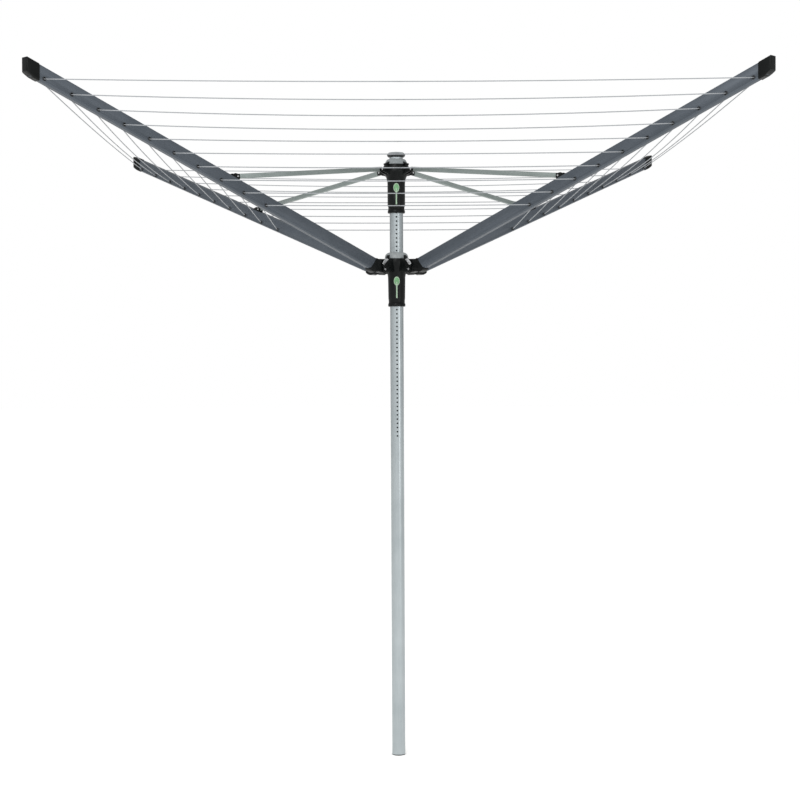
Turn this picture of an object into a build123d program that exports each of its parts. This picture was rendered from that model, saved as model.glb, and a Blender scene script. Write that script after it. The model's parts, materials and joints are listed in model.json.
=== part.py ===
from build123d import *
import math
import os

os.makedirs("parts", exist_ok=True)

# Rotary clothesline with four folding arms. Millimetres, +Z up.
# The origin is the centre of the foot's underside, on the pole's axis.
# The arms stand on the diagonals, so the lines between them run along X and Y.

# ---- driving dimensions -------------------------------------------------------------------------
ARMS = 4
FIRST_AZIMUTH = 45.0

# pole
POLE_R = 22.5
POLE_WALL = 2.2
POLE_TOP = 2023.0
FLANGE_T = 3.0
GROOVE_W = 12.0
GROOVE_DEPTH = 1.6
PEG_HOLE_R = 2.8
PEG_HOLE_PITCH = 14.2
PEG_HOLES = 56
LOWEST_PEG_HOLE_Z = 1083.0
MARK_Z = 350.0
MARK_DEPTH = 0.3
SLIDE_GAP = 0.3
RUN_GAP = 0.05
SEAM = 0.2

# crown, which the struts hang on, and hub, which the arms turn on
CROWN_FOOT_Z = 1835.0
CROWN_TOP_Z = 1998.0
HUB_FOOT_Z = 1520.0
HUB_TOP_Z = 1681.0
HUB_BLOCK_H = 38.0
SLEEVE_BORE_R = 25.5
SLEEVE_R = 29.7
COVER_R = 39.5
COVER_BORE_GAP = 0.6
FOOT_RING_H = 13.0
LINER_LOW_H = 13.0
LINER_HIGH_H = 30.0

# arms: elevation, the line of holes, and the hollow section measured from that line
ARM_RISE = 19.83
HOLE_LINE_Z = 1605.0
HOLE_ROWS = 10
OUTER_HOLE_R = 1400.0
INNER_HOLE_R = 593.0
ARM_TOP = 32.5
ARM_BOTTOM = -10.2
ARM_RIDGE = 16.0
ARM_HALF_W = 12.0
ARM_TOP_HALF_W = 9.6
ARM_BEVEL_W = 4.5
ARM_BEVEL_H = 4.0
ARM_WALL = 1.6
ARM_TIP_R = 1440.0
TIP_CAP_START_R = 1416.0
TIP_CAP_END_R = 1457.0
TIP_CAP_PROUD = 1.8
TIP_CAP_FOOT_R = 1434.0
TIP_CAP_CORNER_RISE = 23.0
ARM_ROOT_TOP = 119.0
ARM_ROOT_BOTTOM = 137.0

# arm hinge on the hub, strut pivot on the crown, strut pivot on the arm
ARM_PIVOT = (71.0, 1643.0)
CROWN_PIVOT = (75.0, 1978.0)
ARM_STRUT_PIVOT = (703.0, 1901.0)
ARM_PIN_R = 4.0
STRUT_PIN_R = 3.0
LOBE_R = 13.0
LOBE_HALF_W = 13.0
EAR_GAP = 0.5
EAR_T = 4.0
CROWN_EAR_T = 2.6
STRUT_GAP = 0.5
BRACKET_T = 3.0

# struts
STRUT_W = 12.0
STRUT_H = 15.0
STRUT_WALL = 1.2
STRUT_END_GAP = 10.0
SPIGOT_LENGTH = 20.0

# clothesline and its guides
LINE_R = 1.5
GUIDE_BORE_R = 4.4
GUIDE_BARREL_R = 5.1
GUIDE_FLANGE_R = 6.0
GUIDE_PROUD = 1.5

# catch levers: height of the lever's pin in each sleeve
CROWN_CATCH_Z = 1911.0
HUB_CATCH_Z = 1597.0
CATCH_PIN_Y = -25.2
CATCH_PIN_R = 1.5
SPOON_W = 20.0
SPOON_H = 30.0
SPOON_RISE = 8.0
STEM_W = 4.5
STEM_DROP = 49.0
LEVER_FRONT_Y = -30.3
LEVER_BACK_Y = -27.7
PEG_R = 1.6
PEG_TIP_GAP = 0.5
PEG_ABOVE_STEM_END = 4.0

# ---- derived ------------------------------------------------------------------------------------
RISE_COS = math.cos(math.radians(ARM_RISE))
RISE_SIN = math.sin(math.radians(ARM_RISE))
AZIMUTHS = [FIRST_AZIMUTH + k * 360.0 / ARMS for k in range(ARMS)]
ROW_STEP = (OUTER_HOLE_R - INNER_HOLE_R) / (HOLE_ROWS - 1)
ROW_RADII = [OUTER_HOLE_R - i * ROW_STEP for i in range(HOLE_ROWS)]
GROOVE_FLOOR_Y = -(POLE_R - GROOVE_DEPTH)


def along_arm(radius, height):
    """Place of a point of the arm's middle plane, measured along and square to the line of holes."""
    dz = height - HOLE_LINE_Z
    return (radius * RISE_COS + dz * RISE_SIN, dz * RISE_COS - radius * RISE_SIN)


def on_arm(shape, azimuth):
    """Stand a shape built along +X, about the line of holes, on the arm at this azimuth."""
    return Rot(0, 0, azimuth) * Pos(0, 0, HOLE_LINE_Z) * Rot(0, -ARM_RISE, 0) * shape


def slab(face, y_low, y_high):
    """Thicken a face of the XZ plane from y_low to y_high."""
    return Pos(0, y_high, 0) * extrude(face, y_high - y_low)


def disc_xz(centre, radius):
    return Plane.XZ * Pos(centre[0], centre[1]) * Circle(radius)


def outline_xz(points):
    return Plane.XZ * make_face(Polyline(*points, close=True))


def ring(r_in, r_out, z_low, z_high):
    tube = Cylinder(r_out, z_high - z_low) - Cylinder(r_in, z_high - z_low)
    return Pos(0, 0, (z_low + z_high) / 2) * tube


def revolved(points):
    return revolve(Plane.XZ * make_face(Polyline(*points, close=True)), Axis.Z)


def bar_x(length, width, height, centre):
    return Pos(*centre) * Box(length, width, height)


def pin_y(centre, radius, half_length):
    """Cross pin with chamfered ends, its axis square to the middle plane."""
    pin = Pos(centre[0], 0, centre[1]) * Rot(90, 0, 0) * Cylinder(radius, 2 * half_length)
    return chamfer(pin.edges().filter_by(GeomType.CIRCLE), radius * 0.15)


def around(maker):
    """One copy of a solid for each arm."""
    return [Rot(0, 0, azimuth) * maker() for azimuth in AZIMUTHS]


def save(name, solids):
    pieces = []
    for solid in (solids if isinstance(solids, list) else [solids]):
        pieces.extend(solid.solids())
    export_step(pieces[0] if len(pieces) == 1 else Compound(children=pieces), f"parts/{name}.step")


# ---- pole ---------------------------------------------------------------------------------------
def pivot_foot():
    flange = Pos(0, 0, (FLANGE_T - SEAM) / 2) * Cylinder(POLE_R, FLANGE_T - SEAM)
    flange = chamfer(flange.edges().group_by(Axis.Z)[0], 1.0)
    plug = Pos(0, 0, 25) * Cylinder(16.0, 50)
    return flange + chamfer(plug.edges().group_by(Axis.Z)[-1], 2.0)


def pole():
    inner_r = POLE_R - POLE_WALL
    length = POLE_TOP - FLANGE_T
    tube = Cylinder(POLE_R, length)
    floor_back = GROOVE_FLOOR_Y + POLE_WALL
    bore = Cylinder(inner_r, length) - bar_x(GROOVE_W + 4, 20, length, (0, floor_back - 10, 0))
    groove = bar_x(GROOVE_W, 20, length, (0, GROOVE_FLOOR_Y - 10, 0))
    tube = Pos(0, 0, FLANGE_T + length / 2) * (tube - bore - groove)
    mark = ring(POLE_R - MARK_DEPTH, POLE_R + 2, MARK_Z - 0.5, MARK_Z + 0.5)
    tube -= mark
    for i in range(PEG_HOLES):
        z = LOWEST_PEG_HOLE_Z + i * PEG_HOLE_PITCH
        tube -= Pos(0, GROOVE_FLOOR_Y, z) * Rot(90, 0, 0) * Cylinder(PEG_HOLE_R, 12)
    return tube


def pole_cap():
    z = POLE_TOP + SEAM
    disc = revolved([(0, z), (23, z), (27.5, z + 1.8), (30.5, z + 5.8), (30.5, z + 10.3), (28.5, z + 13.5),
                     (25, z + 16.3), (0, z + 16.3)])
    plug = Pos(0, 0, z - 9) * Cylinder(17.0, 24)
    return disc + plug


# ---- sleeves that slide on the pole -------------------------------------------------------------
def sleeve_window(pin_z):
    """Opening in a sleeve's front for its catch lever."""
    spoon = bar_x(SPOON_W + 3, 20, SPOON_H + 4, (0, -30, pin_z + SPOON_RISE))
    stem = bar_x(STEM_W + 3, 20, STEM_DROP + 3, (0, -30, pin_z - STEM_DROP / 2))
    pin_bore = Pos(0, CATCH_PIN_Y, pin_z) * Rot(0, 90, 0) * Cylinder(CATCH_PIN_R + RUN_GAP, 25.2)
    return spoon + stem + pin_bore


def ear_pair(face, half_gap, thick):
    return slab(face, half_gap, half_gap + thick) + slab(face, -half_gap - thick, -half_gap)


def crown_ears():
    """Fork for one strut, open at the top so that the strut's pin lifts out of it."""
    r, z = CROWN_PIVOT
    web = outline_xz([(36, z - 16), (56, z - 12), (r - 4, z - 7), (r + 3, z - 5.5), (r + 5.5, z + 2),
                      (r - 3, z + 6.5), (52, z + 9), (36, z + 14)])
    half_gap = STRUT_W / 2 + STRUT_GAP
    ears = ear_pair(web + disc_xz((r, z), 6.2), half_gap, CROWN_EAR_T)
    wide = 2 * STRUT_PIN_R + 1.6
    slot = Pos(r, 0, z) * Rot(0, -7, 0) * bar_x(wide, 60, 60, (0, 0, 30))
    slot += Pos(r, 0, z) * Rot(0, -16, 0) * bar_x(wide, 60, 60, (0, 0, 30))
    seat = Pos(r, 0, z) * Rot(90, 0, 0) * Cylinder(STRUT_PIN_R + 0.8, 60)
    return ears - slot - seat


def crown_body():
    z0 = CROWN_FOOT_Z + FOOT_RING_H + SEAM
    top = CROWN_TOP_Z - SEAM
    shell = revolved([
        (SLEEVE_BORE_R, z0), (27.2, z0), (27.4, z0 + 8), (SLEEVE_R, z0 + 13), (SLEEVE_R, 1934), (30.5, 1944),
        (33.5, 1955), (39, 1964), (45, 1970), (47, 1972.5), (47, 1980), (43.5, 1982), (42, 1985), (41.5, top),
        (SLEEVE_BORE_R, top)])
    for azimuth in AZIMUTHS:
        shell += Rot(0, 0, azimuth) * crown_ears()
    shell -= Pos(0, 0, 1950) * Cylinder(SLEEVE_BORE_R, 300)
    return shell - sleeve_window(CROWN_CATCH_Z)


def hub_ears():
    """Fork for one arm, with the bore of its hinge pin."""
    r, z = ARM_PIVOT
    web = outline_xz([(30, z - 7), (50, z - 9), (r, z - 9.5), (r + 9.5, z + 5), (r + 15.5, z + 17),
                      (r - 1, z + 36), (30, z + 37)])
    ears = ear_pair(web + disc_xz((r, z), 10), LOBE_HALF_W + EAR_GAP, EAR_T)
    return ears - Pos(r, 0, z) * Rot(90, 0, 0) * Cylinder(ARM_PIN_R + RUN_GAP, 60)


def hub_body():
    z0 = HUB_FOOT_Z + FOOT_RING_H + SEAM
    top = HUB_TOP_Z - SEAM
    shell = revolved([
        (SLEEVE_BORE_R, z0), (27.2, z0), (27.4, z0 + 8), (28.2, z0 + 14), (29.2, 1618), (31.5, 1634),
        (34, 1648), (38, 1664), (38, top), (SLEEVE_BORE_R, top)])
    block_foot_z = HUB_TOP_Z - HUB_BLOCK_H
    block = Pos(0, 0, (block_foot_z + top) / 2) * Box(61, 61, top - block_foot_z)
    shell += fillet(block.edges().filter_by(Axis.Z), 12)
    for azimuth in AZIMUTHS:
        channel = bar_x(60, 2 * (LOBE_HALF_W + EAR_GAP), 80, (ARM_PIVOT[0] + 9, 0, 1650))
        shell -= Rot(0, 0, azimuth) * channel
    for azimuth in AZIMUTHS:
        shell += Rot(0, 0, azimuth) * hub_ears()
    shell -= Pos(0, 0, 1600) * Cylinder(SLEEVE_BORE_R, 400)
    return shell - sleeve_window(HUB_CATCH_Z)


CROWN_COVER = [(COVER_R, 0), (COVER_R, 2.5), (37.5, 7), (33, 15), (30.5, 18), (29, 18.6)]
HUB_COVER = [(COVER_R, 0), (COVER_R, 5.5), (38.2, 11.5), (35.2, 16.5), (30, 20), (25.5, 21.5)]


def cover(base_z, outline):
    """Domed collar that closes the top of a sleeve."""
    bore = POLE_R + COVER_BORE_GAP
    points = [(bore, base_z)] + [(r, base_z + up) for r, up in outline] + [(bore, base_z + outline[-1][1])]
    return revolved(points)


def cover_clips(base_z, rim, inner_r, reach):
    """Small hooks over the cover's rim, one above each fork."""
    outer_r = COVER_R + 0.1
    profile = [(outer_r, -0.1), (42, -0.1), (reach - 4, -3.5), (reach, -3), (reach - 2, 1),
               (COVER_R + 4, rim + 2), (inner_r, rim + 6.5), (inner_r, rim + 4), (outer_r, rim + 0.1)]

    def clip():
        return slab(outline_xz([(r, base_z + up) for r, up in profile]), -6, 6)
    return around(clip)


def sleeve_liner(z_low, z_high):
    """Two plain bearing rings that run on the pole, one at each end of a sleeve."""
    r_in = POLE_R + SLIDE_GAP
    r_out = SLEEVE_BORE_R - 0.1
    return [ring(r_in, r_out, z_low, z_low + LINER_LOW_H), ring(r_in, r_out, z_high - LINER_HIGH_H, z_high)]


def foot_ring(base_z):
    r_in = POLE_R + COVER_BORE_GAP
    return revolved([(r_in, base_z), (28, base_z), (29.2, base_z + 2), (29.2, base_z + 7),
                     (27.4, base_z + FOOT_RING_H), (r_in, base_z + FOOT_RING_H)])


# ---- catch levers -------------------------------------------------------------------------------
def peg_z(pin_z):
    """Height of the peg that hooks into the pole, near the lower end of a lever's stem."""
    return pin_z - STEM_DROP + PEG_ABOVE_STEM_END


def catch_lever(pin_z):
    thick = LEVER_BACK_Y - LEVER_FRONT_Y
    spoon = Pos(0, SPOON_RISE) * Ellipse(SPOON_W / 2, SPOON_H / 2)
    stem = Pos(0, -STEM_DROP / 2) * Rectangle(STEM_W, STEM_DROP)
    plate = Pos(0, LEVER_BACK_Y, pin_z) * extrude(Plane.XZ * (spoon + stem), thick)
    boss = bar_x(7, 4.8, 5, (0, LEVER_BACK_Y + 1.8, pin_z))
    bore = Pos(0, CATCH_PIN_Y, pin_z) * Rot(0, 90, 0) * Cylinder(CATCH_PIN_R + RUN_GAP, 30)
    socket = Pos(0, LEVER_BACK_Y, peg_z(pin_z)) * Rot(90, 0, 0) * Cylinder(PEG_R, 2.4)
    return plate + boss - bore - socket


def catch_pin(pin_z):
    return Pos(0, CATCH_PIN_Y, pin_z) * Rot(0, 90, 0) * Cylinder(CATCH_PIN_R, 25)


def catch_peg(pin_z):
    back = GROOVE_FLOOR_Y - PEG_TIP_GAP
    length = back - LEVER_BACK_Y + 1.2
    peg = Pos(0, back - length / 2, peg_z(pin_z)) * Rot(90, 0, 0) * Cylinder(PEG_R, length)
    return chamfer(peg.edges().group_by(Axis.Y)[-1], 0.5)


def catch_spring(pin_z):
    """Torsion spring's coil on the lever's pin."""
    coil = Helix(pitch=0.75, height=3.0, radius=1.9)
    wire = Wire(coil.edges())
    section = (coil ^ 0) * Circle(0.3)
    body = sweep(section, path=wire)
    return Pos(4.6, CATCH_PIN_Y, pin_z) * Rot(0, 90, 0) * body


# ---- arms ---------------------------------------------------------------------------------------
def arm_section(inset):
    """Arm's cross-section: sloped shoulders above a ridge, flat sides, and bevels along the bottom."""
    top, bottom = ARM_TOP - inset, ARM_BOTTOM + inset
    half, top_half = ARM_HALF_W - inset, ARM_TOP_HALF_W - inset
    right = [(top_half, top), (half, ARM_RIDGE), (half, bottom + ARM_BEVEL_H), (half - ARM_BEVEL_W, bottom)]
    left = [(-y, z) for y, z in reversed(right)]
    face = make_face(Polyline(*right, *left, close=True))
    corners = face.vertices().filter_by(lambda v: v.Y > ARM_RIDGE + 1 or v.Y < bottom + 1)
    return Plane.YZ * fillet(corners, 1.2)


def plumb_point(radius, level):
    """Where a vertical line at this radius meets a level measured square to the line of holes."""
    return along_arm(radius, HOLE_LINE_Z + radius * RISE_SIN / RISE_COS + level / RISE_COS)


def plumb_cut(radius):
    """Everything beyond a vertical plane at this radius, in the arm's own frame."""
    at = plumb_point(radius, 0)
    return Pos(at[0], 0, at[1]) * Rot(0, ARM_RISE, 0) * Pos(200, 0, 0) * Box(400, 200, 400)


def mitre_cut(shift):
    """Everything inward of the sloping root line, in the arm's own frame."""
    lean = math.degrees(math.atan2(ARM_ROOT_BOTTOM - ARM_ROOT_TOP, ARM_TOP - ARM_BOTTOM))
    middle = ((ARM_ROOT_TOP + ARM_ROOT_BOTTOM) / 2 + shift, 0, (ARM_TOP + ARM_BOTTOM) / 2)
    return Pos(*middle) * Rot(0, -lean, 0) * Pos(-200, 0, 0) * Box(400, 200, 400)


def guide_places():
    """Every guide's place along the arm and its side."""
    return [(radius / RISE_COS, side) for radius in ROW_RADII for side in (-1, 1)]


def arm():
    length = ARM_TIP_R / RISE_COS + 20
    body = extrude(arm_section(0), length) - extrude(arm_section(ARM_WALL), length)
    body -= plumb_cut(ARM_TIP_R)
    body -= mitre_cut(0)
    for place in sorted({s for s, side in guide_places()}):
        body -= Pos(place, 0, 0) * Rot(90, 0, 0) * Cylinder(GUIDE_BARREL_R + 0.1, 60)
    return body


def line_guide():
    flange = Pos(0, 0, ARM_HALF_W + GUIDE_PROUD / 2) * Cylinder(GUIDE_FLANGE_R, GUIDE_PROUD)
    flange = chamfer(flange.edges().group_by(Axis.Z)[-1], 0.5)
    barrel_t = ARM_WALL + 0.6
    barrel = Pos(0, 0, ARM_HALF_W - barrel_t / 2) * Cylinder(GUIDE_BARREL_R, barrel_t)
    return flange + barrel - Pos(0, 0, ARM_HALF_W) * Cylinder(GUIDE_BORE_R, 20)


def line_guides():
    guide = line_guide()
    return [Pos(place, 0, 0) * Rot(-90 * side, 0, 0) * guide for place, side in guide_places()]


def arm_hollow_plug(start, stop):
    return Pos(start, 0, 0) * extrude(arm_section(ARM_WALL + 0.4), stop - start)


def tip_cap():
    """Hood over the arm's end, plumb at both ends, its lower outer corner cut back, rounded every way."""
    low, high = ARM_BOTTOM - TIP_CAP_PROUD, ARM_TOP + TIP_CAP_PROUD
    half = ARM_HALF_W + TIP_CAP_PROUD
    corner_z = HOLE_LINE_Z + TIP_CAP_START_R * RISE_SIN / RISE_COS + low / RISE_COS + TIP_CAP_CORNER_RISE
    side = outline_xz([plumb_point(TIP_CAP_START_R, low), plumb_point(TIP_CAP_FOOT_R, low),
                       along_arm(TIP_CAP_END_R, corner_z), plumb_point(TIP_CAP_END_R, high),
                       plumb_point(TIP_CAP_START_R, high)])
    side = fillet(side.vertices().sort_by(Axis.X)[-3:], 4.0)
    section = Plane.YZ * Pos(0, (low + high) / 2) * RectangleRounded(2 * half, high - low, 6.0)
    reach = 2 * (TIP_CAP_END_R - TIP_CAP_START_R)
    at = plumb_point(TIP_CAP_END_R - reach / 2, 0)
    plan = extrude(RectangleRounded(reach, 2 * half, 5.0), reach, both=True)
    hood = slab(side, -half, half) & Pos(at[0] - reach, 0, 0) * extrude(section, 3 * reach)
    hood &= Pos(at[0], 0, at[1]) * Rot(0, ARM_RISE, 0) * plan
    pocket = Pos(at[0] - reach, 0, 0) * extrude(arm_section(-0.3), 3 * reach) - plumb_cut(ARM_TIP_R + 0.3)
    return hood - pocket


def knuckle():
    """Root fitting: a hinge lobe, a mitred shoulder against the arm, and a plug inside it."""
    pivot = along_arm(*ARM_PIVOT)
    shoulder = outline_xz([
        (pivot[0] + 2, pivot[1] + LOBE_R - 0.4), (98, ARM_TOP + 1), (ARM_ROOT_TOP + 5, ARM_TOP + 1),
        (ARM_ROOT_BOTTOM + 5, ARM_BOTTOM - 1.2), (ARM_ROOT_BOTTOM + 2, -13.5), (132, -15), (122, -15.2),
        (115, -13.5), (104, -6.5), (pivot[0] + 2, pivot[1] - LOBE_R + 0.4)])
    body = slab(shoulder + disc_xz(pivot, LOBE_R), -LOBE_HALF_W, LOBE_HALF_W)
    body = chamfer(body.edges().filter_by(Axis.Y, reverse=True), 1.0)
    plug = arm_hollow_plug(ARM_ROOT_TOP - 10, ARM_ROOT_BOTTOM + 40) - mitre_cut(-2)
    body = body - mitred_arm_room() + plug
    return body - Pos(pivot[0], 0, pivot[1]) * Rot(90, 0, 0) * Cylinder(ARM_PIN_R + RUN_GAP, 60)


def mitred_arm_room():
    """The space that the arm's mitred end takes, with a little air round it."""
    room = Pos(60, 0, 0) * extrude(arm_section(-0.2), 200)
    return room - mitre_cut(-0.2)


def strut_bracket():
    """Fork on the arm's top face for the strut's outer end, its cheeks drawn out along the arm."""
    pivot = along_arm(*ARM_STRUT_PIVOT)
    foot = ARM_TOP + 0.1
    cheek = outline_xz([(pivot[0] - 9, foot), (pivot[0] + 27, foot), (pivot[0] + 26, foot + 2),
                        (pivot[0] + 12, pivot[1] + 5), (pivot[0], pivot[1] + 7), (pivot[0] - 7, pivot[1])])
    half_gap = STRUT_W / 2 + STRUT_GAP
    bracket = ear_pair(cheek + disc_xz(pivot, 7.2), half_gap, BRACKET_T)
    bracket += bar_x(5, 2 * half_gap + 2, 1.8, (pivot[0] + 23.5, 0, foot + 0.9))
    bracket -= Pos(pivot[0], 0, foot - 5) * Box(90, 60, 10)
    return bracket - Pos(pivot[0], 0, pivot[1]) * Rot(90, 0, 0) * Cylinder(STRUT_PIN_R + RUN_GAP, 60)


# ---- struts -------------------------------------------------------------------------------------
STRUT_SPAN = math.dist(CROWN_PIVOT, ARM_STRUT_PIVOT)
STRUT_FALL = math.degrees(math.asin((CROWN_PIVOT[1] - ARM_STRUT_PIVOT[1]) / STRUT_SPAN))


def on_strut(shape, azimuth):
    """Lay a shape built along +X, from the crown pivot outward, on the strut at this azimuth."""
    return Rot(0, 0, azimuth) * Pos(CROWN_PIVOT[0], 0, CROWN_PIVOT[1]) * Rot(0, STRUT_FALL, 0) * shape


def strut_bar():
    length = STRUT_SPAN - 2 * STRUT_END_GAP
    outer = fillet(Box(length, STRUT_W, STRUT_H).edges().filter_by(Axis.X), 1.6)
    inner = Box(length, STRUT_W - 2 * STRUT_WALL, STRUT_H - 2 * STRUT_WALL)
    return Pos(STRUT_SPAN / 2, 0, 0) * (outer - inner)


def strut_end():
    """Plastic tongue with the pivot's bore, and a spigot inside the bar."""
    radius = STRUT_H / 2 - 0.3
    half = STRUT_W / 2 - 0.2
    tongue = slab(disc_xz((0, 0), radius), -half, half)
    tongue += bar_x(STRUT_END_GAP - 0.1, 2 * half, 2 * radius, ((STRUT_END_GAP - 0.1) / 2, 0, 0))
    spigot_w = STRUT_W - 2 * STRUT_WALL - 0.4
    spigot_h = STRUT_H - 2 * STRUT_WALL - 0.4
    tongue += bar_x(SPIGOT_LENGTH, spigot_w, spigot_h, (STRUT_END_GAP + SPIGOT_LENGTH / 2 - 0.1, 0, 0))
    return tongue - Rot(90, 0, 0) * Cylinder(STRUT_PIN_R + RUN_GAP, 60)


def strut_ends():
    end = strut_end()
    return [end, Pos(STRUT_SPAN, 0, 0) * Rot(0, 0, 180) * end]


def strut_pins():
    half = STRUT_W / 2 + STRUT_GAP + CROWN_EAR_T + 0.3
    return [pin_y((0, 0), STRUT_PIN_R, half), pin_y((STRUT_SPAN, 0), STRUT_PIN_R, half)]


# ---- hub fittings -------------------------------------------------------------------------------
def hinge_pin():
    return pin_y(ARM_PIVOT, ARM_PIN_R, LOBE_HALF_W + EAR_GAP + EAR_T)


def side_plates():
    """Pressed plates on the outer faces of one fork."""
    strip = outline_xz([(71, 1679), (87, 1661), (77, 1657), (57, 1677)])
    low = LOBE_HALF_W + EAR_GAP + EAR_T + 0.1
    return [slab(strip, low, low + 1.6), slab(strip, -low - 1.6, -low)]


# ---- clothesline --------------------------------------------------------------------------------
def line_side(k):
    """Ten level spans from one arm to the next, reaching inside both arms' walls."""
    spans = []
    reach = (ARM_WALL + 1.6) * math.sqrt(2)
    for radius in ROW_RADII:
        half = (radius - ARM_HALF_W) / math.sqrt(2) + reach
        out = (radius + ARM_HALF_W) / math.sqrt(2)
        height = HOLE_LINE_Z + radius * RISE_SIN / RISE_COS
        span = Pos(0, out, height) * Rot(0, 90, 0) * Cylinder(LINE_R, 2 * half)
        spans.append(Rot(0, 0, k * 360.0 / ARMS) * span)
    return spans


# ---- assembly -----------------------------------------------------------------------------------
save("pivot_foot", pivot_foot())
save("pole", pole())
save("pole_cap", pole_cap())

for name, body, catch_z, foot_z, top_z, outline, clip_fit in (
        ("crown", crown_body, CROWN_CATCH_Z, CROWN_FOOT_Z, CROWN_TOP_Z, CROWN_COVER, (2.5, 37.85, 56.0)),
        ("hub", hub_body, HUB_CATCH_Z, HUB_FOOT_Z, HUB_TOP_Z, HUB_COVER, (5.5, 38.75, 48.5))):
    save(f"{name}_body", body())
    save(f"{name}_cover", cover(top_z, outline))
    save(f"{name}_cover_clips", cover_clips(top_z, *clip_fit))
    save(f"{name}_liner", sleeve_liner(foot_z + FOOT_RING_H + 2 * SEAM, top_z - 2 * SEAM))
    save(f"{name}_foot_ring", foot_ring(foot_z))
    save(f"{name}_catch_lever", catch_lever(catch_z))
    save(f"{name}_catch_pin", catch_pin(catch_z))
    save(f"{name}_catch_peg", catch_peg(catch_z))
    save(f"{name}_catch_spring", catch_spring(catch_z))

save("arm_hinge_pins", around(hinge_pin))
save("hub_side_plates", [Rot(0, 0, azimuth) * plate for azimuth in AZIMUTHS for plate in side_plates()])

for k, azimuth in enumerate(AZIMUTHS, start=1):
    save(f"arm_{k}", on_arm(arm(), azimuth))
    save(f"arm_{k}_tip_cap", on_arm(tip_cap(), azimuth))
    save(f"arm_{k}_knuckle", on_arm(knuckle(), azimuth))
    save(f"arm_{k}_line_guides", [on_arm(guide, azimuth) for guide in line_guides()])
    save(f"arm_{k}_strut_bracket", on_arm(strut_bracket(), azimuth))
    save(f"strut_{k}", on_strut(strut_bar(), azimuth))
    save(f"strut_{k}_ends", [on_strut(end, azimuth) for end in strut_ends()])
    save(f"strut_{k}_pins", [on_strut(pin, azimuth) for pin in strut_pins()])
    save(f"clothesline_{k}", line_side(k - 1))
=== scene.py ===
import json
import math

import bmesh
import bpy
from mathutils import Matrix, Vector


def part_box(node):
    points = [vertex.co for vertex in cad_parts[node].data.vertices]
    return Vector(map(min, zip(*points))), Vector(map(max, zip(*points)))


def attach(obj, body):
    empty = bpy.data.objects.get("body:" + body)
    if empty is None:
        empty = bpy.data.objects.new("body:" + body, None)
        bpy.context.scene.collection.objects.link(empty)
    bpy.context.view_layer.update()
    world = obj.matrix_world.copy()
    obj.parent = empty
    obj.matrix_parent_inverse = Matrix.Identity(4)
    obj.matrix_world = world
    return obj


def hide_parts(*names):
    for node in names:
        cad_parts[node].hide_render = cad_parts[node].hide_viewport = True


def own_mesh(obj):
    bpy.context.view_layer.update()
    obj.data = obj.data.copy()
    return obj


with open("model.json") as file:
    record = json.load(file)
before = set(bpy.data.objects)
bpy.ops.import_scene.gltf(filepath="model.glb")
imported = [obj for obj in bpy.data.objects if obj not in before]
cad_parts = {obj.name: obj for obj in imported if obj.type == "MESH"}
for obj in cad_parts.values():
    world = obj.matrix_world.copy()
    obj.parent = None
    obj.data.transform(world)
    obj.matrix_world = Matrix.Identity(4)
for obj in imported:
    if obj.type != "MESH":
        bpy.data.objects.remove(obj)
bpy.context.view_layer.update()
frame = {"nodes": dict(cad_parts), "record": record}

# ---- the frame's own sizes, in metres ------------------------------------------------------------
ARMS = 4
ROWS = 10
RISE = math.radians(19.83)
HOLE_LINE_Z = 1.605
OUTER_HOLE_R = 1.400
INNER_HOLE_R = 0.593
ARM_HALF_W = 0.012
LINE_R = 0.0015
STRUT_FALL = math.radians(7.0)
POLE_BORE_R = 0.0204
X_AXIS, Y_AXIS, Z_AXIS = 0, 1, 2
CATCH_PINS = {"crown": 1.911, "hub": 1.597}
SPOON_RISE = 0.008
SPOON_HALF = (0.010, 0.015)
STEM_DROP = 0.049
STEM_HALF_W = 0.00225
LEVER_FRONT_Y = -0.0303
LEVER_BACK_Y = -0.0277
CATCH_PIN_Y = -0.0252
HINGE_R = 0.0024
HINGE_HALF_W = 0.0035
SLEEVE_SKIN_R = {"crown": 0.0295, "hub": 0.0284}
# How far the middle of each row hangs below its ends, outermost row first.
SAGS = [0.009, 0.016, 0.019, 0.016, 0.009, 0.005, 0.005, 0.005, 0.003, 0.002]

# ---- camera --------------------------------------------------------------------------------------
CAMERA_AT = Vector((-0.0642, -5.5321, 1.2869))
CAMERA_LENS = 73.5
CAMERA_PITCH = -0.0150
CAMERA_YAW = -0.0133
CAMERA_ROLL = -0.0046

UP = Vector((0, 0, 1))
NODES = frame["nodes"]


# ---- small helpers -------------------------------------------------------------------------------
def azimuth_of(k):
    """Azimuth of arm k, counted from 1."""
    return math.radians(45 + 90 * (k - 1))


def radial(k):
    a = azimuth_of(k)
    return Vector((math.cos(a), math.sin(a), 0))


def tangential(k):
    a = azimuth_of(k)
    return Vector((-math.sin(a), math.cos(a), 0))


def new_object(name, mesh, material):
    piece = bpy.data.objects.new(name, mesh)
    bpy.context.scene.collection.objects.link(piece)
    mesh.materials.clear()
    mesh.materials.append(material)
    return piece


def mesh_from(name, vertices, faces):
    """A smooth-shaded mesh from its vertices and faces."""
    mesh = bpy.data.meshes.new(name)
    mesh.from_pydata([tuple(v) for v in vertices], [], faces)
    mesh.validate()
    mesh.polygons.foreach_set("use_smooth", [True] * len(mesh.polygons))
    mesh.update()
    return mesh


# ---- materials -----------------------------------------------------------------------------------
def shader(name, colour, roughness, metallic=0.0):
    """A principled material with its fixed values on its own sockets."""
    material = bpy.data.materials.new(name)
    material.use_nodes = True
    tree = material.node_tree
    surface = tree.nodes["Principled BSDF"]
    surface.inputs["Base Color"].default_value = (*colour, 1)
    surface.inputs["Roughness"].default_value = roughness
    surface.inputs["Metallic"].default_value = metallic
    return material, tree, surface


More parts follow.
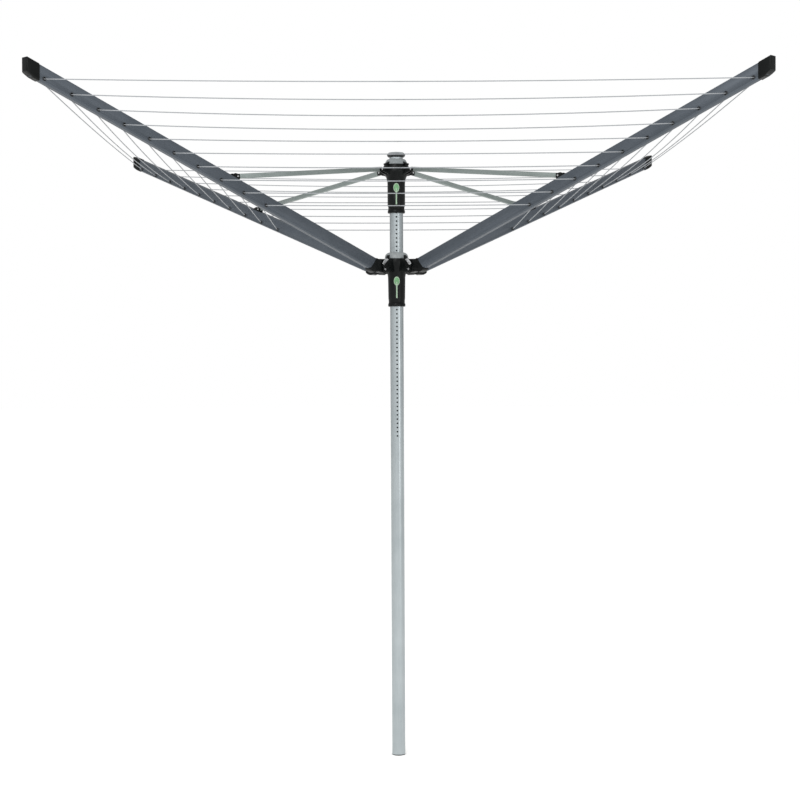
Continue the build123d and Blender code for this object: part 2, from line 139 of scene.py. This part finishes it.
def stretched_noise(tree, scale, stretch, detail=4.0):
    """Noise in object coordinates, drawn out along Z by `stretch`."""
    where = tree.nodes.new("ShaderNodeTexCoord")
    mapping = tree.nodes.new("ShaderNodeMapping")
    mapping.inputs["Scale"].default_value = (1, 1, 1 / stretch)
    noise = tree.nodes.new("ShaderNodeTexNoise")
    noise.inputs["Scale"].default_value = scale
    noise.inputs["Detail"].default_value = detail
    tree.links.new(where.outputs["Object"], mapping.inputs["Vector"])
    tree.links.new(mapping.outputs["Vector"], noise.inputs["Vector"])
    return noise


def ramp_between(tree, source, low, high, at=(0.35, 0.65)):
    ramp = tree.nodes.new("ShaderNodeValToRGB")
    ramp.color_ramp.elements[0].position = at[0]
    ramp.color_ramp.elements[1].position = at[1]
    ramp.color_ramp.elements[0].color = (*low, 1)
    ramp.color_ramp.elements[1].color = (*high, 1)
    tree.links.new(source, ramp.inputs["Fac"])
    return ramp.outputs["Color"]


def range_between(tree, source, low, high):
    spread = tree.nodes.new("ShaderNodeMapRange")
    spread.inputs["To Min"].default_value = low
    spread.inputs["To Max"].default_value = high
    tree.links.new(source, spread.inputs["Value"])
    return spread.outputs["Result"]


def bump(tree, surface, source, strength, distance):
    node = tree.nodes.new("ShaderNodeBump")
    node.inputs["Strength"].default_value = strength
    node.inputs["Distance"].default_value = distance
    tree.links.new(source, node.inputs["Height"])
    tree.links.new(node.outputs["Normal"], surface.inputs["Normal"])


def turned(tree, source, angles):
    """Turn coordinates by each pair of axis number and angle, one after the other."""
    for axis, angle in angles:
        mapping = tree.nodes.new("ShaderNodeMapping")
        mapping.inputs["Rotation"].default_value[axis] = angle
        tree.links.new(source, mapping.inputs["Vector"])
        source = mapping.outputs["Vector"]
    return source


def drawn_metal(name, low, high, roughness, metallic, axis, angles=(), specular=0.5):
    """Extruded, anodised metal: die lines along one axis, a faint cloudiness and fine scuffs."""
    material, tree, surface = shader(name, high, roughness, metallic)
    surface.inputs["Specular IOR Level"].default_value = specular
    where = turned(tree, tree.nodes.new("ShaderNodeTexCoord").outputs["Object"], angles)
    stretch = tree.nodes.new("ShaderNodeMapping")
    stretch.inputs["Scale"].default_value[axis] = 0.01
    lines = tree.nodes.new("ShaderNodeTexNoise")
    lines.inputs["Scale"].default_value = 1100
    lines.inputs["Detail"].default_value = 3
    cloud = tree.nodes.new("ShaderNodeTexNoise")
    cloud.inputs["Scale"].default_value = 9
    cloud.inputs["Detail"].default_value = 5
    blend = tree.nodes.new("ShaderNodeMix")
    tree.links.new(where, stretch.inputs["Vector"])
    tree.links.new(stretch.outputs["Vector"], lines.inputs["Vector"])
    tree.links.new(where, cloud.inputs["Vector"])
    blend.inputs["Factor"].default_value = 0.45
    tree.links.new(cloud.outputs["Fac"], blend.inputs["A"])
    tree.links.new(lines.outputs["Fac"], blend.inputs["B"])
    tree.links.new(ramp_between(tree, blend.outputs["Result"], low, high), surface.inputs["Base Color"])
    tree.links.new(range_between(tree, lines.outputs["Fac"], roughness - 0.08, roughness + 0.10),
                   surface.inputs["Roughness"])
    bump(tree, surface, lines.outputs["Fac"], 0.15, 0.0002)
    return material


def moulded(name, low, high, roughness, grain=900, specular=0.5):
    """Moulded plastic: fine spark-eroded grain and slight colour variation."""
    material, tree, surface = shader(name, high, roughness)
    surface.inputs["Specular IOR Level"].default_value = specular
    grainy = stretched_noise(tree, grain, 1)
    cloud = stretched_noise(tree, 14, 1)
    tree.links.new(ramp_between(tree, cloud.outputs["Fac"], low, high), surface.inputs["Base Color"])
    tree.links.new(range_between(tree, grainy.outputs["Fac"], roughness - 0.06, roughness + 0.08),
                   surface.inputs["Roughness"])
    bump(tree, surface, grainy.outputs["Fac"], 0.2, 0.0002)
    return material


def twisted_cord(name, low, high):
    """Plastic-covered cord: a fine unevenness of the strands under the skin."""
    material, tree, surface = shader(name, high, 0.5)
    strands = stretched_noise(tree, 1400, 1, 2)
    tree.links.new(ramp_between(tree, strands.outputs["Fac"], low, high), surface.inputs["Base Color"])
    bump(tree, surface, strands.outputs["Fac"], 0.3, 0.0003)
    return material


# Half-width of the blend between the cap's painted shade and its pale crown.
CAP_SHADE_BLEND = 0.0006


def cap_with_painted_shade(name, shade_line_z, dark, pale):
    """Moulded cap, painted dark below its widest part as painted shade where it faces down, and pale on
    its crown, with fine grain.
    """
    material, tree, surface = shader(name, pale, 0.34)
    surface.inputs["Specular IOR Level"].default_value = 0.3
    height = tree.nodes.new("ShaderNodeSeparateXYZ")
    step = tree.nodes.new("ShaderNodeMapRange")
    step.inputs["From Min"].default_value = shade_line_z - CAP_SHADE_BLEND
    step.inputs["From Max"].default_value = shade_line_z + CAP_SHADE_BLEND
    where = tree.nodes.new("ShaderNodeTexCoord")
    grain = stretched_noise(tree, 900, 1)
    tree.links.new(where.outputs["Object"], height.inputs["Vector"])
    tree.links.new(height.outputs["Z"], step.inputs["Value"])
    tones = ramp_between(tree, step.outputs["Result"], dark, pale, (0.0, 1.0))
    tree.links.new(tones, surface.inputs["Base Color"])
    bump(tree, surface, grain.outputs["Fac"], 0.2, 0.0002)
    return material


MIX_FACTOR, MIX_COLOUR_A, MIX_COLOUR_B, MIX_COLOUR_OUT = 0, 6, 7, 2
# Near-black painted shade for the inside of the pole's tube.
BORE_SHADE_COLOUR = (0.006, 0.006, 0.006, 1)
BORE_SHADE_EDGE = 0.0003


def paint_bore_shade(material, bore_r):
    """Paint the tube's inside nearly black as painted shade, where little light reaches down a long tube.
    """
    tree = material.node_tree
    surface = tree.nodes["Principled BSDF"]
    skin = surface.inputs["Base Color"].links[0].from_socket
    where = tree.nodes.new("ShaderNodeTexCoord")
    flat = tree.nodes.new("ShaderNodeVectorMath")
    flat.operation = "MULTIPLY"
    flat.inputs[1].default_value = (1, 1, 0)
    reach = tree.nodes.new("ShaderNodeVectorMath")
    reach.operation = "LENGTH"
    step = tree.nodes.new("ShaderNodeMapRange")
    step.inputs["From Min"].default_value = bore_r
    step.inputs["From Max"].default_value = bore_r + BORE_SHADE_EDGE
    mix = tree.nodes.new("ShaderNodeMix")
    mix.data_type = "RGBA"
    mix.inputs[MIX_COLOUR_A].default_value = BORE_SHADE_COLOUR
    tree.links.new(where.outputs["Object"], flat.inputs[0])
    tree.links.new(flat.outputs["Vector"], reach.inputs[0])
    tree.links.new(reach.outputs["Value"], step.inputs["Value"])
    tree.links.new(step.outputs["Result"], mix.inputs[MIX_FACTOR])
    tree.links.new(skin, mix.inputs[MIX_COLOUR_B])
    tree.links.new(mix.outputs[MIX_COLOUR_OUT], surface.inputs["Base Color"])


# Height on the cap below which its lower part is painted dark as painted shade.
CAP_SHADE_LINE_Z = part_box("pole_cap")[1][2] - 0.0055
POLE_METAL = drawn_metal("pole_metal", (0.34, 0.38, 0.395), (0.43, 0.47, 0.485), 0.30, 0.88, Z_AXIS)
# The pole's bore is painted near-black as painted shade.
paint_bore_shade(POLE_METAL, POLE_BORE_R)
ARM_METALS = {
    k: drawn_metal(f"arm_metal_{k}", (0.056, 0.068, 0.083), (0.075, 0.088, 0.105), 0.42, 0.30, X_AXIS,
                   ((Z_AXIS, -azimuth_of(k)), (Y_AXIS, RISE)), 0.4)
    for k in range(1, ARMS + 1)}
STRUT_METALS = {
    k: drawn_metal(f"strut_metal_{k}", (0.20, 0.235, 0.225), (0.27, 0.305, 0.295), 0.38, 0.6, X_AXIS,
                   ((Z_AXIS, -azimuth_of(k)), (Y_AXIS, -STRUT_FALL)))
    for k in range(1, ARMS + 1)}
STEEL = drawn_metal("zinc_steel", (0.55, 0.56, 0.57), (0.66, 0.67, 0.68), 0.28, 0.9, Z_AXIS)
DARK_STEEL = drawn_metal("dark_steel", (0.008, 0.009, 0.010), (0.014, 0.015, 0.016), 0.45, 0.3, Z_AXIS)
BLACK_PLASTIC = moulded("black_plastic", (0.0015, 0.002, 0.002), (0.004, 0.005, 0.005), 0.36,
                        specular=0.14)
GREY_PLASTIC = moulded("grey_plastic", (0.19, 0.21, 0.215), (0.25, 0.27, 0.275), 0.34, specular=0.35)
GREEN_PLASTIC = moulded("green_plastic", (0.10, 0.27, 0.11), (0.125, 0.31, 0.135), 0.35)
PALE_GREEN = moulded("pale_green_plastic", (0.25, 0.37, 0.25), (0.30, 0.42, 0.30), 0.35)
PALE_PLASTIC = moulded("pale_plastic", (0.62, 0.62, 0.58), (0.70, 0.70, 0.66), 0.45)
# Pole cap: its lower half painted dark as painted shade, its crown in the cap's own grey.
CAP_PAINTED_SHADE = cap_with_painted_shade("cap_plastic", CAP_SHADE_LINE_Z, (0.02, 0.023, 0.024), (0.24, 0.26, 0.265))
GUIDE_PLASTIC = moulded("guide_plastic", (0.018, 0.02, 0.022), (0.03, 0.033, 0.035), 0.34, specular=0.4)
CORD_SKIN = twisted_cord("cord_skin", (0.22, 0.235, 0.25), (0.33, 0.345, 0.36))

SLOT_MATERIALS = {
    "pole_aluminium": POLE_METAL,
    "black_plastic": BLACK_PLASTIC,
    "grey_plastic": GREY_PLASTIC,
    "lever_green": PALE_GREEN,
    "steel": STEEL,
    "liner_plastic": PALE_PLASTIC,
    "line_cord": CORD_SKIN,
}
SLOTS = {part["node"]: part["material_slot"] for part in frame["record"]["subparts"]}
BODIES = {node: body for body, nodes in frame["record"]["behaviour"]["bodies"].items() for node in nodes}


def material_of(node):
    """The finish of a CAD node; arms and struts have their own, with the die lines along them."""
    if node == "pole_cap":
        return CAP_PAINTED_SHADE
    if node.endswith("catch_pin"):
        return DARK_STEEL
    if node.endswith("line_guides"):
        return GUIDE_PLASTIC
    if SLOTS[node] == "arm_anodised":
        return ARM_METALS[int(node.split("_")[1])]
    if SLOTS[node] == "strut_aluminium":
        return STRUT_METALS[int(node.split("_")[1])]
    return SLOT_MATERIALS[SLOTS[node]]


def dress_nodes():
    """Give every carried-over CAD node its material."""
    for name, node in NODES.items():
        node.data.materials.clear()
        node.data.materials.append(material_of(name))


# ---- finished housings and extrusions ------------------------------------------------------------
def softened(node, width):
    """The node's shape with its edges rounded, as a moulding or an extrusion has them."""
    mesh = bpy.data.meshes.new(f"{node}_finished")
    work = bmesh.new()
    work.from_mesh(NODES[node].data)
    bmesh.ops.remove_doubles(work, verts=work.verts, dist=2e-6)
    bmesh.ops.dissolve_limit(work, angle_limit=math.radians(0.8), verts=work.verts, edges=work.edges)
    work.to_mesh(mesh)
    work.free()
    piece = new_object(f"{node}_finished", mesh, material_of(node))
    mesh.polygons.foreach_set("use_smooth", [True] * len(mesh.polygons))
    rounding = piece.modifiers.new("rounded_edges", "BEVEL")
    rounding.width = width
    rounding.segments = 2
    rounding.limit_method = "ANGLE"
    rounding.angle_limit = math.radians(28)
    rounding.harden_normals = True
    rounding.use_clamp_overlap = True
    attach(piece, BODIES[node])
    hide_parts(node)


def finish_housings():
    """Round the edges that catch the light: widths in metres."""
    for name in ("crown", "hub"):
        softened(f"{name}_body", 0.0009)
        softened(f"{name}_cover", 0.0008)
        softened(f"{name}_cover_clips", 0.0007)
        softened(f"{name}_foot_ring", 0.0006)
    softened("pole_cap", 0.0008)
    softened("hub_side_plates", 0.0004)
    for k in range(1, ARMS + 1):
        softened(f"arm_{k}", 0.0008)
        softened(f"arm_{k}_tip_cap", 0.0012)
        softened(f"arm_{k}_knuckle", 0.0010)
        softened(f"arm_{k}_strut_bracket", 0.0005)
        softened(f"arm_{k}_line_guides", 0.0003)
        softened(f"strut_{k}", 0.0003)
        softened(f"strut_{k}_ends", 0.0006)


# ---- catch levers --------------------------------------------------------------------------------
def lofted(name, rings):
    """A skin through rings of points, closed at both ends; each ring has as many points."""
    count = len(rings[0])
    vertices = [point for ring in rings for point in ring]
    faces = []
    for i in range(len(rings) - 1):
        for j in range(count):
            a, b = i * count + j, i * count + (j + 1) % count
            faces.append((a, b, b + count, a + count))
    faces.append(tuple(reversed(range(count))))
    faces.append(tuple(range((len(rings) - 1) * count, len(rings) * count)))
    return mesh_from(name, vertices, faces)


def oval(centre_z, half_w, half_h, y, sides=48):
    """An upright ellipse of points, facing along Y."""
    turns = [2 * math.pi * j / sides for j in range(sides)]
    return [Vector((half_w * math.cos(t), y, centre_z + half_h * math.sin(t))) for t in turns]


def lever_spoon(name, pin_z):
    """Oval thumb pad: a raised pale rim round a dished face, on a slim tapering stem."""
    z = pin_z + SPOON_RISE
    w, h = SPOON_HALF
    front, back = LEVER_FRONT_Y, LEVER_BACK_Y
    rim = [(0.9, back), (1.0, back - 0.0006), (1.0, front + 0.0007), (0.96, front + 0.0002), (0.9, front),
           (0.82, front + 0.0002), (0.78, front + 0.0009), (0.74, front + 0.0012), (0.74, back - 0.0003)]
    rim_mesh = lofted("lever_rim", [oval(z, w * f, h * f, y) for f, y in rim])
    spoon = new_object(f"{name}_lever_rim", rim_mesh, PALE_GREEN)
    face = [(0.735, back - 0.0004), (0.735, front + 0.0011), (0.6, front + 0.0013), (0.4, front + 0.0010),
            (0.2, front + 0.0008)]
    face_mesh = lofted("lever_face", [oval(z, w * f, h * f, y) for f, y in face])
    dish = new_object(f"{name}_lever_face", face_mesh, GREEN_PLASTIC)
    stem_rings = []
    for drop, narrow in ((-0.0075, 1.0), (0.0, 0.95), (0.015, 0.9), (0.035, 0.95), (0.046, 1.1),
                         (0.0485, 0.9), (STEM_DROP, 0.5)):
        half = STEM_HALF_W * narrow
        level = pin_z - drop
        stem_rings.append([Vector((x * half, y, level)) for x, y in (
            (-1, back), (-1, front + 0.0007), (-0.6, front + 0.0001), (0, front), (0.6, front + 0.0001),
            (1, front + 0.0007), (1, back), (0, back))])
    stem = new_object(f"{name}_lever_stem", lofted("lever_stem", stem_rings), PALE_GREEN)
    hinge = new_object(f"{name}_lever_hinge", hinge_knuckle(pin_z), PALE_GREEN)
    for piece in (spoon, dish, stem, hinge):
        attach(piece, f"{name}_lever")
    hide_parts(f"{name}_catch_lever")


def hinge_knuckle(pin_z):
    """Boss behind the lever that turns on its pin, rounded where it wraps the pin."""
    rings = []
    root_y = LEVER_BACK_Y - 0.0002
    inner = HINGE_HALF_W - 0.0004
    for x, shrink in ((-HINGE_HALF_W, 0.85), (-inner, 1.0), (inner, 1.0), (HINGE_HALF_W, 0.85)):
        r = HINGE_R * shrink
        ring = [Vector((x, root_y, pin_z + r))]
        for j in range(13):
            turn = math.pi / 2 - math.pi * j / 12
            ring.append(Vector((x, CATCH_PIN_Y + r * math.cos(turn), pin_z + r * math.sin(turn))))
        ring.append(Vector((x, root_y, pin_z - r)))
        rings.append(ring)
    return lofted("lever_hinge", rings)


def on_sleeve(x, z, radius):
    """A point of a sleeve's front wall, at this radius from the pole's axis."""
    return Vector((x, -math.sqrt(radius * radius - x * x), z))


def lever_surround(name, pin_z, skin_r):
    """Wall of the sleeve close round the lever: an oval recess that runs into the stem's slot."""
    wall = 0.0022
    margin = 0.0007
    half_w, half_h = 0.0118, 0.0173
    slot = 0.0034
    centre_z = pin_z + SPOON_RISE
    opening = math.asin(slot / (SPOON_HALF[0] + margin))
    steps = 96
    rings = []
    for j in range(steps + 1):
        turn = -math.pi / 2 + opening + (2 * math.pi - 2 * opening) * j / steps
        c, d = math.cos(turn), math.sin(turn)
        inner = ((SPOON_HALF[0] + margin) * c, centre_z + (SPOON_HALF[1] + margin) * d)
        far = min(half_w / max(abs(c), 1e-6), half_h / max(abs(d), 1e-6))
        outer = (far * c, centre_z + far * d)
        rings.append([on_sleeve(*outer, skin_r), on_sleeve(*inner, skin_r),
                      on_sleeve(*inner, skin_r - wall), on_sleeve(*outer, skin_r - wall)])
    pieces = [new_object(f"{name}_lever_surround", lofted("lever_surround", rings), BLACK_PLASTIC)]
    lip_inner, lip_outer = 0.0029, 0.0040
    for side in (-1, 1):
        near, far = side * lip_inner, side * lip_outer
        lip = []
        for level in (centre_z - half_h + 0.0002, pin_z - STEM_DROP - 0.0018):
            lip.append([on_sleeve(far, level, skin_r), on_sleeve(near, level, skin_r),
                        on_sleeve(near, level, skin_r - wall), on_sleeve(far, level, skin_r - wall)])
        lip_name = f"{name}_slot_lip_{'left' if side < 0 else 'right'}"
        pieces.append(new_object(lip_name, lofted("slot_lip", lip), BLACK_PLASTIC))
    for piece in pieces:
        piece.data.polygons.foreach_set("use_smooth", [False] * len(piece.data.polygons))
        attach(piece, name)


def levers():
    for name, pin_z in CATCH_PINS.items():
        lever_spoon(name, pin_z)
        lever_surround(name, pin_z, SLEEVE_SKIN_R[name])


# ---- clothesline ---------------------------------------------------------------------------------
def tube_along(points, radius, sides=8):
    """Vertices and faces of a round tube through the points, closed at both ends."""
    vertices, faces = [], []
    for i, point in enumerate(points):
        ahead = points[min(i + 1, len(points) - 1)] - points[max(i - 1, 0)]
        side = ahead.cross(UP).normalized()
        over = side.cross(ahead).normalized()
        for j in range(sides):
            turn = 2 * math.pi * j / sides
            vertices.append(point + radius * (math.cos(turn) * side + math.sin(turn) * over))
    for i in range(len(points) - 1):
        for j in range(sides):
            a, b = i * sides + j, i * sides + (j + 1) % sides
            faces.append((a, b, b + sides, a + sides))
    faces.append(tuple(reversed(range(sides))))
    faces.append(tuple(range((len(points) - 1) * sides, len(points) * sides)))
    return vertices, faces


def half_span(k, side, row):
    """Half of one span, from its guide in arm k to the middle, where it meets its other half."""
    radius = OUTER_HOLE_R - row * (OUTER_HOLE_R - INNER_HOLE_R) / (ROWS - 1)
    lateral = tangential(k) * side
    direction = (lateral - radial(k)).normalized()
    hole = radial(k) * radius + lateral * ARM_HALF_W + UP * (HOLE_LINE_Z + radius * math.tan(RISE))
    length = (radius - ARM_HALF_W) / math.sqrt(2)
    sag = SAGS[row]
    inside = 0.004
    steps = 14
    points = []
    for i in range(steps + 1):
        run = -inside + (length + inside) * i / steps
        drop = sag * (1 - (1 - max(run, 0) / length) ** 2)
        points.append(hole + direction * run - UP * drop)
    vertices, faces = tube_along(points, LINE_R)
    name = f"line_{k}_{'left' if side > 0 else 'right'}_{row + 1:02d}"
    piece = new_object(name, mesh_from(name, vertices, faces), CORD_SKIN)
    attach(piece, f"arm_{k}")
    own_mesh(piece)
    return piece


def clothesline():
    for k in range(1, ARMS + 1):
        for side in (1, -1):
            for row in range(ROWS):
                piece = half_span(k, side, row)
                if side > 0:
                    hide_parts(f"clothesline_{k}")


# ---- stage, camera and light ---------------------------------------------------------------------
def camera():
    data = bpy.data.cameras.new("camera")
    data.lens = CAMERA_LENS
    data.sensor_width = 36
    piece = bpy.data.objects.new("camera", data)
    bpy.context.scene.collection.objects.link(piece)
    piece.location = CAMERA_AT
    look = Matrix.Rotation(CAMERA_YAW, 4, "Z") @ Matrix.Rotation(math.pi / 2 + CAMERA_PITCH, 4, "X")
    piece.rotation_euler = (look @ Matrix.Rotation(CAMERA_ROLL, 4, "Z")).to_euler()
    bpy.context.scene.camera = piece


def stage():
    size = 60
    corners = [(-size, -size, 0), (size, -size, 0), (size, size, 0), (-size, size, 0)]
    floor = mesh_from("floor", corners, [(0, 1, 2, 3)])
    material, tree, surface = shader("pale_floor", (0.93, 0.93, 0.92), 0.9)
    surface.inputs["Emission Color"].default_value = (1, 1, 0.99, 1)
    surface.inputs["Emission Strength"].default_value = 0.3
    piece = new_object("floor", floor, material)


def lamp(name, location, target, size, power):
    data = bpy.data.lights.new(name, "AREA")
    data.shape = "SQUARE"
    data.size = size
    data.energy = power
    piece = bpy.data.objects.new(name, data)
    bpy.context.scene.collection.objects.link(piece)
    piece.location = location
    piece.rotation_euler = (Vector(target) - Vector(location)).to_track_quat("-Z", "Y").to_euler()


def studio_world():
    """White behind the object; for the object itself, brighter from the front and above."""
    world = bpy.data.worlds.new("studio")
    bpy.context.scene.world = world
    world.use_nodes = True
    tree = world.node_tree
    background = tree.nodes["Background"]
    background.inputs["Color"].default_value = (1, 1, 1, 1)
    where = tree.nodes.new("ShaderNodeTexCoord")
    towards = tree.nodes.new("ShaderNodeVectorMath")
    towards.operation = "DOT_PRODUCT"
    towards.inputs[1].default_value = (-0.15, -0.72, 0.68)
    spread = tree.nodes.new("ShaderNodeMapRange")
    spread.inputs["From Min"].default_value = -1
    spread.inputs["To Min"].default_value = 0.18
    spread.inputs["To Max"].default_value = 1.05
    path = tree.nodes.new("ShaderNodeLightPath")
    choose = tree.nodes.new("ShaderNodeMix")
    choose.inputs["B"].default_value = 1.0
    tree.links.new(where.outputs["Generated"], towards.inputs[0])
    tree.links.new(towards.outputs["Value"], spread.inputs["Value"])
    tree.links.new(path.outputs["Is Camera Ray"], choose.inputs["Factor"])
    tree.links.new(spread.outputs["Result"], choose.inputs["A"])
    tree.links.new(choose.outputs["Result"], background.inputs["Strength"])


def light():
    studio_world()
    bpy.context.scene.view_settings.view_transform = "Standard"
    lamp("key", (-1.6, -4.4, 3.6), (0, 0, 1.6), 1.6, 70)
    lamp("fill", (2.6, -3.8, 1.6), (0, 0, 1.5), 2.0, 30)


camera()
light()
stage()
dress_nodes()
finish_housings()
levers()
clothesline()
